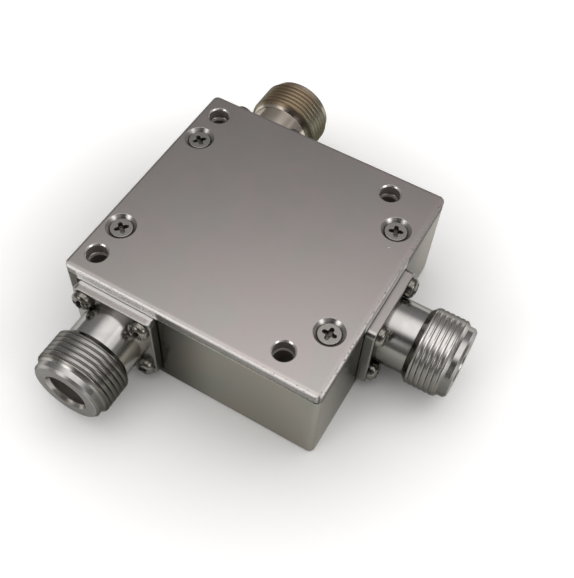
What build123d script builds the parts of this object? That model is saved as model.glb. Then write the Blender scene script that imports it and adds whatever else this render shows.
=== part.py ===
from build123d import *
from math import hypot, isclose, sqrt
import os

os.makedirs("parts", exist_ok=True)

# Body: the origin is the middle of its bottom face, x to the right, y to the back
body_width = 54.0
body_depth = 52.0
housing_height = 20.2
lid_thickness = 2.3
corner_radius = 1.2
lid_edge_radius = 0.65
lid_underside_chamfer = 0.15
housing_rim_chamfer = 0.3
housing_foot_chamfer = 0.4

# Cavity for the ferrite stack, with a short pocket towards each port
floor_thickness = 2.6
cavity_radius = 17.0
pocket_width = 8.0
port_wall = 5.0

# Mounting holes through the whole body, by their distance from its left, right and front sides
mounting_edge_left = 4.0
mounting_edge_right = 10.0
mounting_edge_front = 5.0
mounting_hole_radius = 2.0
mounting_hole_chamfer = 0.28

# Lid screws, countersunk cross-head, placed from the same sides of the body
lid_screw_edge_left = 4.0
lid_screw_edge_right = 5.0
lid_screw_edge_front = 12.5
countersink_radius = 3.0
lid_head_radius = 2.25
lid_head_land = 0.2
lid_screw_length = 8.0
lid_cross_angles = (50.0, 50.0, 19.0, 0.0)

# Screw size shared by the lid and the port flanges, drawn at the outside of its thread
screw_radius = 1.25
screw_clearance = 0.1
tapped_clearance = 0.03
tap_run_out = 0.3
screw_tip_chamfer = 0.3
screw_shoulder = 0.1
cross_width = 0.6
cross_length = 2.7
cross_depth = 0.8
cross_taper = 12.0

# Ports: one looks to the right, the other two leave the front and the back in one line
port_height = 10.9
side_port_edge_left = 11.7
flange_hole_spacing = 12.7
flange_margin = 2.4
flange_corner_radius = 1.2
flange_thickness = 2.0
flange_edge_radius = 0.3
pan_head_radius = 2.1
pan_head_height = 1.6
pan_head_rim_height = 0.8
pan_head_shoulder = 1.0
pan_head_round = 1.4
pan_head_clearance = 0.08
flange_screw_reach = 2.4
flange_cross_angles = (10.0, 35.0, 62.0, 80.0)

# Turned front of a port, measured outwards from the side of the body
barrel_length = 7.9
thread_radius = 7.94
port_length = 17.2
nose_length = 2.3
nose_drop = 0.74
nose_chamfer = 0.5
mouth_radius = 4.5
mouth_chamfer = 0.3
socket_bore_radius = 4.05
socket_bore_depth = 9.1
line_bore_radius = 3.5

# Insulator and contact on the port's axis
fit_clearance = 0.03
sleeve_radius = 2.15
contact_tip_recess = 4.35
contact_socket_radius = 1.52
contact_socket_bore = 0.82
contact_socket_depth = 4.0
contact_slot_width = 0.26
contact_slot_length = 3.4
contact_shaft_radius = 1.05
contact_pin_radius = 0.65
contact_step = 1.0
contact_lap = 2.4
contact_tip_chamfer = 0.2

# Stack in the cavity, the same above and below the centre conductor
conductor_thickness = 0.5
junction_radius = 8.0
junction_stub_radius = 10.0
junction_stub_width = 5.0
arm_root_width = 4.2
arm_width = 2.2
arm_tip_width = 1.2
arm_knee_reach = 3.4
ferrite_radius = 11.0
ferrite_thickness = 2.5
ceramic_clearance = 0.05
plate_clearance = 0.1
ground_plate_thickness = 0.3
pole_plate_thickness = 1.2
magnet_radius = 14.0
magnet_chamfer = 0.3
temperature_plate_radius = 14.0
temperature_plate_thickness = 0.6
pressure_pad_thickness = 0.4

# Heights and places that follow
total_height = housing_height + lid_thickness
mounting_spacing_x = body_width - mounting_edge_left - mounting_edge_right
mounting_spacing_y = body_depth - 2 * mounting_edge_front
mounting_centre_x = (mounting_edge_left - mounting_edge_right) / 2
lid_screw_left = lid_screw_edge_left - body_width / 2
lid_screw_right = body_width / 2 - lid_screw_edge_right
lid_screw_y = body_depth / 2 - lid_screw_edge_front
lid_screw_places = (
    (lid_screw_left, -lid_screw_y),
    (lid_screw_left, lid_screw_y),
    (lid_screw_right, lid_screw_y),
    (lid_screw_right, -lid_screw_y),
)
head_sink = countersink_radius - lid_head_radius - lid_head_land
side_port_x = side_port_edge_left - body_width / 2
flange_side = flange_hole_spacing + 2 * flange_margin
barrel_radius = flange_hole_spacing / sqrt(2) - pan_head_radius - pan_head_clearance
thread_end = port_length - nose_length
nose_radius = thread_radius - nose_drop
socket_bore_floor = port_length - socket_bore_depth
contact_tip = port_length - contact_tip_recess
plate_radius = cavity_radius - plate_clearance
conductor_bottom = port_height - conductor_thickness / 2
conductor_top = port_height + conductor_thickness / 2
stack_of_plates = ferrite_thickness + ground_plate_thickness + pole_plate_thickness
pressure_pad_bottom = housing_height - pressure_pad_thickness
temperature_plate_bottom = pressure_pad_bottom - temperature_plate_thickness
upper_magnet_bottom = conductor_top + stack_of_plates
arm_knee_y = sqrt((cavity_radius + arm_knee_reach) ** 2 - side_port_x**2)
arm_knees = {
    1: [Vector(side_port_x, -arm_knee_y)],
    2: [Vector(side_port_x, arm_knee_y)],
    3: [],
}
ports = {
    1: Plane(origin=(side_port_x, -body_depth / 2, port_height), x_dir=(1, 0, 0), z_dir=(0, -1, 0)),
    2: Plane(origin=(side_port_x, body_depth / 2, port_height), x_dir=(-1, 0, 0), z_dir=(0, 1, 0)),
    3: Plane(origin=(body_width / 2, 0, port_height), x_dir=(0, 1, 0), z_dir=(1, 0, 0)),
}


def finish(piece, name):
    """Name a finished piece and write it."""
    piece.part.label = name
    export_step(piece.part, f"parts/{name}.step")


def axial_section(place):
    """The plane through a place's axis: first along the axis, then away from it."""
    return Plane(origin=place.origin, x_dir=place.z_dir, z_dir=-place.x_dir)


def turned_profile(place, outline):
    """A closed outline of (along the axis, radius) points, ready to revolve."""
    with BuildSketch(axial_section(place)) as profile:
        with BuildLine():
            Polyline(*outline, close=True)
        make_face()
    return profile.sketch


def axis_of(place):
    """The axis of a turned piece that stands on a place."""
    return Axis(place.origin, place.z_dir)


def cross_recess(place, angle):
    """The outline of a cross-head recess, turned by its angle."""
    with BuildSketch(place) as cross:
        with Locations(Location((0, 0, 0), angle)):
            Rectangle(cross_length, cross_width)
            Rectangle(cross_width, cross_length)
    return cross.sketch


def mounting_rims(edges):
    """The rims of the mounting holes among some edges."""
    circles = edges.filter_by(GeomType.CIRCLE)
    return circles.filter_by(lambda edge: isclose(edge.radius, mounting_hole_radius))


def flange_screw_planes(port):
    """The four screw places on the front face of a port's flange."""
    reach = flange_hole_spacing / 2
    corners = ((-reach, -reach), (reach, -reach), (reach, reach), (-reach, reach))
    return [
        Plane(
            origin=port.from_local_coords(Vector(across, up, flange_thickness)),
            x_dir=port.x_dir,
            z_dir=port.z_dir,
        )
        for across, up in corners
    ]


def build_housing():
    """Milled block with the stack's cavity, the port bores and every tapped hole."""
    hole_depth = head_sink + lid_screw_length - lid_thickness + tap_run_out
    with BuildPart() as housing:
        with BuildSketch():
            RectangleRounded(body_width, body_depth, corner_radius)
        extrude(amount=housing_height)
        chamfer(housing.faces().sort_by(Axis.Z)[-1].edges(), housing_rim_chamfer)
        chamfer(housing.faces().sort_by(Axis.Z)[0].edges(), housing_foot_chamfer)
        # Round cavity, and the pockets that let the arms reach the contacts
        with BuildSketch(Plane.XY.offset(floor_thickness)):
            Circle(cavity_radius)
            with Locations((side_port_x, 0)):
                Rectangle(pocket_width, body_depth - 2 * port_wall)
            with Locations(((body_width / 2 - port_wall) / 2, 0)):
                Rectangle(body_width / 2 - port_wall, pocket_width)
        extrude(amount=housing_height - floor_thickness, mode=Mode.SUBTRACT)
        # Mounting holes with a chamfer under the lid and at the foot
        with Locations((mounting_centre_x, 0, housing_height)):
            with GridLocations(mounting_spacing_x, mounting_spacing_y, 2, 2):
                Hole(mounting_hole_radius, depth=housing_height)
        chamfer(mounting_rims(housing.edges()), mounting_hole_chamfer)
        # Tapped holes for the lid
        with Locations(Plane.XY.offset(housing_height)):
            with Locations(*lid_screw_places):
                Hole(screw_radius + tapped_clearance, depth=hole_depth)
        # Each port: a bore for the insulator's sleeve and four tapped holes
        for port in ports.values():
            with Locations(port):
                Hole(sleeve_radius, depth=port_wall)
                with GridLocations(flange_hole_spacing, flange_hole_spacing, 2, 2):
                    Hole(screw_radius + tapped_clearance, depth=flange_screw_reach + tap_run_out)
    finish(housing, "housing")


def build_lid():
    """Flat lid, flush with the housing, with eased edges and countersunk holes."""
    with BuildPart() as lid:
        with BuildSketch(Plane.XY.offset(housing_height)):
            RectangleRounded(body_width, body_depth, corner_radius)
        extrude(amount=lid_thickness)
        fillet(lid.faces().sort_by(Axis.Z)[-1].edges(), lid_edge_radius)
        chamfer(lid.faces().sort_by(Axis.Z)[0].edges(), lid_underside_chamfer)
        with Locations((mounting_centre_x, 0, total_height)):
            with GridLocations(mounting_spacing_x, mounting_spacing_y, 2, 2):
                Hole(mounting_hole_radius, depth=lid_thickness)
        chamfer(mounting_rims(lid.faces().sort_by(Axis.Z)[-1].edges()), mounting_hole_chamfer)
        with Locations(Plane.XY.offset(total_height)):
            with Locations(*lid_screw_places):
                CounterSinkHole(
                    screw_radius + screw_clearance,
                    countersink_radius,
                    depth=lid_thickness,
                    counter_sink_angle=90,
                )
    finish(lid, "lid")


def build_lid_screws():
    """Four countersunk screws, each with its own turn of the cross."""
    cone_top = -lid_head_land
    cone_foot = cone_top - (lid_head_radius - screw_radius)
    outline = [
        (0, 0),
        (0, lid_head_radius - fit_clearance),
        (cone_top, lid_head_radius - fit_clearance),
        (cone_foot, screw_radius - fit_clearance),
        (cone_foot - screw_shoulder, screw_radius),
        (-lid_screw_length + screw_tip_chamfer, screw_radius),
        (-lid_screw_length, screw_radius - screw_tip_chamfer),
        (-lid_screw_length, 0),
    ]
    with BuildPart() as lid_screws:
        for (x, y), angle in zip(lid_screw_places, lid_cross_angles):
            place = Plane(origin=(x, y, total_height - head_sink))
            revolve(turned_profile(place, outline), axis=axis_of(place))
            recess = cross_recess(place, angle)
            extrude(recess, amount=-cross_depth, taper=cross_taper, mode=Mode.SUBTRACT)
    finish(lid_screws, "lid_screws")


def build_port_shell(port, number):
    """Square flange and turned barrel in one piece; the fine thread is left to the finish."""
    rise = thread_radius - barrel_radius
    fall = thread_radius - nose_radius
    outside = [
        (0, 0),
        (0, barrel_radius),
        (barrel_length, barrel_radius),
        (barrel_length + rise, thread_radius),
        (thread_end, thread_radius),
        (thread_end + fall, nose_radius),
        (port_length - nose_chamfer, nose_radius),
        (port_length, nose_radius - nose_chamfer),
        (port_length, 0),
    ]
    bore = [
        (0, 0),
        (0, line_bore_radius),
        (socket_bore_floor, line_bore_radius),
        (socket_bore_floor, socket_bore_radius),
        (port_length - (mouth_radius - socket_bore_radius) - mouth_chamfer, socket_bore_radius),
        (port_length - mouth_chamfer, mouth_radius - mouth_chamfer / 2),
        (port_length, mouth_radius),
        (port_length, 0),
    ]
    with BuildPart() as shell:
        with BuildSketch(port):
            RectangleRounded(flange_side, flange_side, flange_corner_radius)
        extrude(amount=flange_thickness)
        front = shell.faces().sort_by(axis_of(port))[-1]
        fillet(front.edges(), flange_edge_radius)
        revolve(turned_profile(port, outside), axis=axis_of(port))
        revolve(turned_profile(port, bore), axis=axis_of(port), mode=Mode.SUBTRACT)
        with Locations(port.offset(flange_thickness)):
            with GridLocations(flange_hole_spacing, flange_hole_spacing, 2, 2):
                Hole(screw_radius + screw_clearance, depth=flange_thickness)
    finish(shell, f"port_{number}_shell")


def build_port_insulator(port, number):
    """Stepped bead: wide inside the shell, narrow through the wall of the body."""
    outline = [
        (-port_wall, contact_pin_radius + fit_clearance),
        (-port_wall, sleeve_radius - fit_clearance),
        (0, sleeve_radius - fit_clearance),
        (0, line_bore_radius - fit_clearance),
        (socket_bore_floor, line_bore_radius - fit_clearance),
        (socket_bore_floor, contact_shaft_radius + fit_clearance),
        (contact_step, contact_shaft_radius + fit_clearance),
        (contact_step, contact_pin_radius + fit_clearance),
    ]
    with BuildPart() as insulator:
        revolve(turned_profile(port, outline), axis=axis_of(port))
    finish(insulator, f"port_{number}_insulator")


def build_port_contact(port, number):
    """Slotted spring socket in front, stepped pin behind, with a flat for the arm."""
    pin_end = -(port_wall + contact_lap)
    outline = [
        (pin_end, 0),
        (pin_end, contact_pin_radius),
        (contact_step, contact_pin_radius),
        (contact_step, contact_shaft_radius),
        (socket_bore_floor, contact_shaft_radius),
        (socket_bore_floor, contact_socket_radius),
        (contact_tip - contact_tip_chamfer, contact_socket_radius),
        (contact_tip, contact_socket_radius - contact_tip_chamfer),
        (contact_tip, 0),
    ]
    with BuildPart() as contact:
        revolve(turned_profile(port, outline), axis=axis_of(port))
        with Locations(port.offset(contact_tip)):
            Hole(contact_socket_bore, depth=contact_socket_depth)
        with BuildSketch(port.offset(contact_tip)):
            Rectangle(3 * contact_socket_radius, contact_slot_width)
            Rectangle(contact_slot_width, 3 * contact_socket_radius)
        extrude(amount=-contact_slot_length, mode=Mode.SUBTRACT)
        # The flat under the arm of the centre conductor
        with BuildSketch(port.offset(pin_end)):
            with Locations((0, -conductor_thickness / 2)):
                Rectangle(3 * contact_pin_radius, 3 * contact_pin_radius, align=(Align.CENTER, Align.MIN))
        extrude(amount=contact_lap, mode=Mode.SUBTRACT)
    finish(contact, f"port_{number}_contact")


def build_port_screws(port, number):
    """Four pan-head screws that hold a flange to the side of the body."""
    flat_radius = pan_head_radius - pan_head_shoulder
    screw_end = -(flange_thickness + flange_screw_reach)
    with BuildPart() as screws:
        for place, angle in zip(flange_screw_planes(port), flange_cross_angles):
            with BuildSketch(axial_section(place)):
                with BuildLine():
                    Polyline(
                        (screw_end, 0),
                        (screw_end, screw_radius - screw_tip_chamfer),
                        (screw_end + screw_tip_chamfer, screw_radius),
                        (0, screw_radius),
                        (0, pan_head_radius),
                        (pan_head_rim_height, pan_head_radius),
                    )
                    RadiusArc(
                        (pan_head_rim_height, pan_head_radius),
                        (pan_head_height, flat_radius),
                        -pan_head_round,
                    )
                    Polyline((pan_head_height, flat_radius), (pan_head_height, 0), (screw_end, 0))
                make_face()
            revolve(axis=axis_of(place))
            recess = cross_recess(place.offset(pan_head_height), angle)
            extrude(recess, amount=-cross_depth, taper=cross_taper, mode=Mode.SUBTRACT)
    finish(screws, f"port_{number}_screws")


def build_round_plate(name, bottom, radius, thickness):
    """A plain round plate of the stack."""
    with BuildPart() as plate:
        with BuildSketch(Plane.XY.offset(bottom)):
            Circle(radius)
        extrude(amount=thickness)
    finish(plate, name)


def build_magnet(name, bottom, top):
    """Magnet disc with ground, chamfered rims."""
    with BuildPart() as magnet:
        with BuildSketch(Plane.XY.offset(bottom)):
            Circle(magnet_radius)
        extrude(amount=top - bottom)
        chamfer(magnet.edges().filter_by(GeomType.CIRCLE), magnet_chamfer)
    finish(magnet, name)


def build_ceramic_ring(name, bottom):
    """Ceramic ring that centres a ferrite disc in the cavity."""
    with BuildPart() as ring:
        with BuildSketch(Plane.XY.offset(bottom)):
            Circle(plate_radius)
            Circle(ferrite_radius + ceramic_clearance, mode=Mode.SUBTRACT)
        extrude(amount=ferrite_thickness)
    finish(ring, name)


def tapered_strip(start, end, start_width, end_width):
    """A strip of the conductor's sheet between two points, round at its far end."""
    run = end - start
    with BuildSketch(Plane(origin=(start.X, start.Y, conductor_bottom), x_dir=(run.X, run.Y, 0))) as strip:
        with BuildLine():
            Polyline(
                (0, -start_width / 2),
                (hypot(run.X, run.Y), -end_width / 2),
                (hypot(run.X, run.Y), end_width / 2),
                (0, start_width / 2),
                close=True,
            )
        make_face()
        with Locations((hypot(run.X, run.Y), 0)):
            Circle(end_width / 2)
    return strip.sketch


def build_centre_conductor():
    """Flat junction disc with three tapered arms and a tuning stub opposite each arm."""
    with BuildPart() as conductor:
        with BuildSketch(Plane.XY.offset(conductor_bottom)):
            Circle(junction_radius)
            with PolarLocations(junction_stub_radius / 2, 3, start_angle=60):
                Rectangle(junction_stub_radius, junction_stub_width)
        extrude(amount=conductor_thickness)
        # Each arm turns onto its port's axis, then narrows where it lies on the contact's flat
        for number, port in ports.items():
            shoulder = port.from_local_coords(Vector(0, 0, -port_wall - contact_lap))
            tip = port.from_local_coords(Vector(0, 0, -port_wall - contact_lap / 3))
            corners = [Vector(0, 0), *arm_knees[number], shoulder]
            widths = [arm_root_width] + [arm_width] * (len(corners) - 1)
            for start, end, start_width, end_width in zip(corners, corners[1:], widths, widths[1:]):
                extrude(tapered_strip(start, end, start_width, end_width), amount=conductor_thickness)
            extrude(tapered_strip(shoulder, tip, arm_width, arm_tip_width), amount=conductor_thickness)
    finish(conductor, "centre_conductor")


def build_stack():
    """Both halves of the stack: the lower magnet stands on the floor, the upper one is held by the lid."""
    lower_ferrite_bottom = conductor_bottom - ferrite_thickness
    lower_ground_bottom = lower_ferrite_bottom - ground_plate_thickness
    lower_pole_bottom = lower_ground_bottom - pole_plate_thickness
    build_magnet("lower_magnet", floor_thickness, lower_pole_bottom)
    build_round_plate("lower_pole_plate", lower_pole_bottom, plate_radius, pole_plate_thickness)
    build_round_plate("lower_ground_plate", lower_ground_bottom, plate_radius, ground_plate_thickness)
    build_round_plate("lower_ferrite", lower_ferrite_bottom, ferrite_radius, ferrite_thickness)
    build_ceramic_ring("lower_ceramic_ring", lower_ferrite_bottom)

    upper_ground_bottom = conductor_top + ferrite_thickness
    upper_pole_bottom = upper_ground_bottom + ground_plate_thickness
    build_round_plate("upper_ferrite", conductor_top, ferrite_radius, ferrite_thickness)
    build_ceramic_ring("upper_ceramic_ring", conductor_top)
    build_round_plate("upper_ground_plate", upper_ground_bottom, plate_radius, ground_plate_thickness)
    build_round_plate("upper_pole_plate", upper_pole_bottom, plate_radius, pole_plate_thickness)
    build_magnet("upper_magnet", upper_magnet_bottom, temperature_plate_bottom)
    build_round_plate(
        "temperature_plate", temperature_plate_bottom, temperature_plate_radius, temperature_plate_thickness
    )
    build_round_plate(
        "pressure_pad", pressure_pad_bottom, temperature_plate_radius, pressure_pad_thickness
    )


build_housing()
build_lid()
build_lid_screws()
for number, port in ports.items():
    build_port_shell(port, number)
    build_port_insulator(port, number)
    build_port_contact(port, number)
    build_port_screws(port, number)
build_stack()
build_centre_conductor()
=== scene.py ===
from math import cos, hypot, pi, radians, sin, sqrt

import bmesh
import bpy
from mathutils import Matrix, Vector


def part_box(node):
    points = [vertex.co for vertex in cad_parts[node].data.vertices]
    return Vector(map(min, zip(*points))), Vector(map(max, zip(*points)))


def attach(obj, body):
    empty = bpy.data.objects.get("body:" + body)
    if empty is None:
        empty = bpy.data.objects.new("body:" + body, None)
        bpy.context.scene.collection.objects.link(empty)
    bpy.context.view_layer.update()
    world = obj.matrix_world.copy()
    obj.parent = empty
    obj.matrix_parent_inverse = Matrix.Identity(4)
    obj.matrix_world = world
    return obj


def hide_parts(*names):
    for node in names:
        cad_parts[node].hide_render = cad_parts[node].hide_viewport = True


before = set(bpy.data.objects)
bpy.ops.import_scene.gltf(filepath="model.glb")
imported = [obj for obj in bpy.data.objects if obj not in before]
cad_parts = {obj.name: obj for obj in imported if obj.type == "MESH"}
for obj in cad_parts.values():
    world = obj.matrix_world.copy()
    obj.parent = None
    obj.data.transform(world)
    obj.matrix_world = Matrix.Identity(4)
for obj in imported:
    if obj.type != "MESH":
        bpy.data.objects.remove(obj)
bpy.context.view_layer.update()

mm = 0.001
noiseRoughness = 0.55
bevelSamples = 6


# Shader wires: sums and products of wires add their own nodes

class Wire:
    def __init__(self, shading, socket):
        self.shading = shading
        self.socket = socket

    def isVector(self):
        return self.socket.type in {"VECTOR", "RGBA"}

    def combine(self, operation, *pair):
        wide = any(isinstance(part, tuple) or isinstance(part, Wire) and part.isVector() for part in pair)
        if not wide:
            return self.shading.node("ShaderNodeMath", {"operation": operation}, dict(enumerate(pair)))
        parts = [(part, part, part) if isinstance(part, (int, float)) else part for part in pair]
        return self.shading.node("ShaderNodeVectorMath", {"operation": operation}, dict(enumerate(parts)))

    def __add__(self, other):
        return self.combine("ADD", self, other)

    def __radd__(self, other):
        return self.combine("ADD", other, self)

    def __sub__(self, other):
        return self.combine("SUBTRACT", self, other)

    def __rsub__(self, other):
        return self.combine("SUBTRACT", other, self)

    def __mul__(self, other):
        return self.combine("MULTIPLY", self, other)

    def __rmul__(self, other):
        return self.combine("MULTIPLY", other, self)

    def __truediv__(self, other):
        return self.combine("DIVIDE", self, other)

    def __pow__(self, other):
        return self.combine("POWER", self, other)

    def __neg__(self):
        return self.combine("MULTIPLY", self, -1.0)

    def __abs__(self):
        return self.shading.node("ShaderNodeMath", {"operation": "ABSOLUTE"}, {0: self})


class Shading:
    def __init__(self, tree):
        self.tree = tree

    # any node: its type, its settings, then the values or wires of its sockets
    def node(self, kind, settings=None, inputs=None, output=0):
        made = self.tree.nodes.new(kind)
        for name, value in (settings or {}).items():
            setattr(made, name, value)
        for name, value in (inputs or {}).items():
            if isinstance(value, Wire):
                self.tree.links.new(value.socket, made.inputs[name])
            else:
                made.inputs[name].default_value = value
        return Wire(self, made.outputs[output])

    # the object's own coordinates in millimetres, as three wires
    def place(self):
        spot = self.node("ShaderNodeTexCoord", output="Object") / mm
        parts = self.node("ShaderNodeSeparateXYZ", inputs={0: spot}).socket.node
        return [Wire(self, socket) for socket in parts.outputs]

    # noise with blotches of a size in millimetres, drawn out where stretch is small; shift moves them
    def blotches(self, size, detail=2.0, stretch=(1.0, 1.0, 1.0), shift=0.0):
        moved = self.node(
            "ShaderNodeMapping",
            inputs={
                "Vector": self.node("ShaderNodeTexCoord", output="Object"),
                "Location": (shift, shift, shift),
                "Scale": stretch,
            },
        )
        return self.node(
            "ShaderNodeTexNoise",
            inputs={"Vector": moved, "Scale": 1 / (size * mm), "Detail": detail, "Roughness": noiseRoughness},
        )

    def higher(self, first, second):
        return self.node("ShaderNodeMath", {"operation": "MAXIMUM"}, {0: first, 1: second})

    def lower(self, first, second):
        return self.node("ShaderNodeMath", {"operation": "MINIMUM"}, {0: first, 1: second})

    def range(self, wire, low, high, toLow=0.0, toHigh=1.0, smooth=True):
        return self.node(
            "ShaderNodeMapRange",
            {"interpolation_type": "SMOOTHSTEP" if smooth else "LINEAR", "clamp": True},
            {"Value": wire, "From Min": low, "From Max": high, "To Min": toLow, "To Max": toHigh},
        )

    # 0 inside a limit and 1 past it, changing over a band that is measured inwards from the limit
    def beyond(self, wire, limit, band):
        return self.range(wire, limit - band[0], limit - band[1])

    def mix(self, factor, first, second):
        return self.node(
            "ShaderNodeMix",
            {"data_type": "RGBA", "clamp_factor": True},
            {0: factor, 6: first, 7: second},
            output=2,
        )


class Finish(Shading):
    def __init__(self, name, look):
        self.material = bpy.data.materials.new(name)
        self.material.use_nodes = True
        super().__init__(self.material.node_tree)
        self.surface = self.tree.nodes["Principled BSDF"]
        for socket, value in look.items():
            self.set(socket, value)

    def set(self, name, value):
        if isinstance(value, Wire):
            self.tree.links.new(value.socket, self.surface.inputs[name])
        else:
            self.surface.inputs[name].default_value = value

    # raise the surface by a height in millimetres; edges are eased by a radius, or only where eased is 1
    def emboss(self, height, edge=0.0, eased=None):
        inputs = {"Height": height, "Strength": 1.0, "Distance": mm}
        if edge:
            samples, radius = {"samples": bevelSamples}, {"Radius": edge * mm}
            inputs["Normal"] = self.node("ShaderNodeBevel", samples, radius, "Normal")
        if eased:
            plain = self.node("ShaderNodeNewGeometry", output="Normal")
            inputs["Normal"] = self.mix(eased, plain, inputs["Normal"])
        self.set("Normal", self.node("ShaderNodeBump", inputs=inputs, output="Normal"))


# Body: where its sides, holes, screws and flanges are, in millimetres, for the finishes that follow them

def boxOf(node):
    # a CAD node's lowest and highest corners
    return [[round(part / mm, 3) for part in corner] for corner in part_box(node)]


housingHigh = boxOf("housing")[1]
lidHigh = boxOf("lid")[1]
flangeLow, flangeHigh = boxOf("port_1_shell")

body = {
    "halfWidth": housingHigh[0], "halfDepth": housingHigh[1], "seam": housingHigh[2], "top": lidHigh[2],
    "sidePortX": (flangeLow[0] + flangeHigh[0]) / 2, "portHeight": (flangeLow[2] + flangeHigh[2]) / 2,
    "flangeHalf": (flangeHigh[0] - flangeLow[0]) / 2,
    # four mounting holes and four lid screws: the middle of each four in x, then half their spacings
    "holes": (-3.0, 20.0, 21.0), "holeRadius": 2.0, "screws": (-0.5, 22.5, 13.5),
    # bands over which the finishes change
    "sideBand": (0.7, 0.3), "flangeBand": (0.2, -0.4), "wallBand": (-0.01, -0.05),
}


# each port's way across and its way out of the body
portWays = {
    1: (Vector((1, 0, 0)), Vector((0, -1, 0))),
    2: (Vector((-1, 0, 0)), Vector((0, 1, 0))),
    3: (Vector((0, 1, 0)), Vector((1, 0, 0))),
}


def rgb(colour, factor=1.0):
    return (*[part * factor for part in colour], 1.0)


def tones(colour, low, high):
    return rgb(colour, low), rgb(colour, high)


def distance(across, along):
    return (across * across + along * along) ** 0.5


def toNearest(spots, x, y):
    # how far a point lies from the middle of the nearest of four holes or screws
    middle, halfAcross, halfAlong = body[spots]
    return distance(abs(x - middle) - halfAcross, abs(y) - halfAlong)


def boredWall(finish, hole):
    # 1 on the wall of a mounting hole
    return 1 - finish.beyond(hole, body["holeRadius"], body["wallBand"])


def overFlange(finish, x, y):
    # 1 on the stretches of the body's sides that have a flange
    ends = finish.beyond(abs(y), body["halfDepth"], body["sideBand"])
    right = finish.beyond(x, body["halfWidth"], body["sideBand"])
    alongEnd = 1 - finish.beyond(abs(x - body["sidePortX"]), body["flangeHalf"], body["flangeBand"])
    alongRight = 1 - finish.beyond(abs(y), body["flangeHalf"], body["flangeBand"])
    return finish.higher(ends * alongEnd, right * alongRight)


# Plated faces. Colours, then spans and bands. A span is where a mask starts and ends, with its values there
# if they aren't 0 and 1. A band is measured inwards from the side, radius or height that it belongs to.

platingLook = {
    "driftSize": 15.0, "driftSpan": (0.40, 0.60),
    "smearSize": 6.0, "smearSpan": (0.35, 0.65), "smearRoughness": 0.05,
    "speckleSize": 0.24, "speckleSpan": (0.3, 0.7, 0.97, 1.03), "speckleRoughness": 0.06,
}


def tinted(finish, look):
    # the plating's colour drifts a little over the face, with a fine speckle
    plating = platingLook
    drift = finish.blotches(plating["driftSize"], detail=1.0)
    speckle = finish.blotches(plating["speckleSize"], detail=2.0, shift=3.0)
    smear = finish.blotches(plating["smearSize"], detail=3.0, shift=7.0)
    tint = finish.mix(finish.range(drift, *plating["driftSpan"]), rgb(look["warm"]), rgb(look["cool"]))
    base = finish.mix(finish.range(smear, *plating["smearSpan"]), rgb(look["colour"]), tint)
    base = base * finish.range(speckle, *plating["speckleSpan"], smooth=False)
    roughness = look["roughness"] + plating["smearRoughness"] * (smear - 0.5)
    roughness = roughness + plating["speckleRoughness"] * (speckle - 0.5)
    return base, roughness, speckle


lidLook = {
    "colour": (0.400, 0.367, 0.354), "warm": (0.412, 0.367, 0.358), "cool": (0.388, 0.373, 0.354),
    "edgeTint": (0.35, 0.34, 0.33), "roughness": 0.22, "grain": 0.0009,
    "edge": 0.16, "edgeFrom": (20.55, 20.75),     # the lid's lower edge stays sharp
    # milled sides
    "side": (0.36, 0.345, 0.33), "sideRoughness": 0.40, "sideReach": (0.10, 0.20), "sideTop": (22.05, 22.2),
    "gritSize": 0.20, "gritSpan": (0.35, 0.65), "gritTones": (0.80, 1.20), "gritHeight": 0.016,
    "jointBand": (-0.20, -0.40), "jointTone": 0.55, "jointSpan": (0.35, 0.55, 0.6, 1.0),
    # painted reflection of each flange on the side above it
    "paintedHighlight": (0.86, 0.83, 0.81), "highlightShare": 0.8, "highlightMetal": 0.25, "highlightRoughness": 0.42,
    "highlightTop": (21.9, 22.1), "highlightSideTop": (21.6, 21.9),
    "highlightSpan": (0.40, 0.60), "highlightTones": (0.68, 1.16),
    "fleckSize": 0.26, "fleckSpan": (0.38, 0.58), "fleckReach": (0.5, 0.65), "fleckShade": 0.10,
    # painted highlight along the edge, with nicks
    "paintedEdgeHighlight": (0.58, 0.56, 0.54), "paintedEdgeHighlightLeft": (0.84, 0.82, 0.80), "edgeHighlightAcross": (-14.0, 8.0),
    "edgeHighlightReach": (0.12, 0.42), "edgeHighlightHeight": (21.75, 21.95), "edgeHighlightBack": (-4.0, 13.0),
    "nickSize": 0.45, "nickSpan": (0.60, 0.68), "nickReach": (0.15, 1.0),
    "nickAcross": (15.0, 26.0, 0.35, 1.0), "nickShade": 0.55, "nickDepth": 0.012, "nickRoughness": 0.2,
    # one scratch and one spot
    "scratch": (22.7, 8.8), "scratchLength": 0.6, "scratchWidth": 0.07, "scratchAngle": 35,
    "scratchCore": (0.6, 0.4), "scratchHeight": (22.0, 22.4),
    "scratchColour": (0.85, 0.83, 0.80), "scratchRoughness": 0.25,
    "spot": (26.6, -25.6), "spotSpan": (0.128, 0.32, 0.45, 1.0),
    # countersinks and holes, with painted highlights on the cones and hole edges and a painted shadow at each
    # cone's foot
    "sunk": (0.48, 0.465, 0.45), "sunkRoughness": 0.27,
    "sunkRadius": (3.05, 3.15), "sunkHeight": (22.44, 22.49),
    "paintedConeShadow": (0.34, 0.32, 0.30), "coneShadowRadius": (2.51, 2.59),
    "holeEdge": (0.82, 0.79, 0.77), "holeEdgeBand": (-0.35, -0.40), "holeEdgeHeight": (21.95, 22.05),
    "wall": (0.26, 0.225, 0.205), "wallMetal": 0.35, "wallRoughness": 0.5,
    # the roll-off of the top
    "rollWidth": 1.1, "rollDrop": 0.156, "rollHeight": (22.0, 22.2),
    "crispDepth": 0.26, "crispReach": (0.7, 0.8), "crispGrowth": 1.05,
}


def scratchMask(finish, look, x, y):
    turn = radians(look["scratchAngle"])
    scratchX, scratchY = look["scratch"]
    along = (x - scratchX) * cos(turn) + (y - scratchY) * sin(turn)
    across = (y - scratchY) * cos(turn) - (x - scratchX) * sin(turn)
    half, width = look["scratchLength"] / 2, look["scratchWidth"]
    lengthCore, widthCore = look["scratchCore"]
    inLength = 1 - finish.range(abs(along), half * lengthCore, half)
    return inLength * (1 - finish.range(abs(across), width * widthCore, width))


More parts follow.
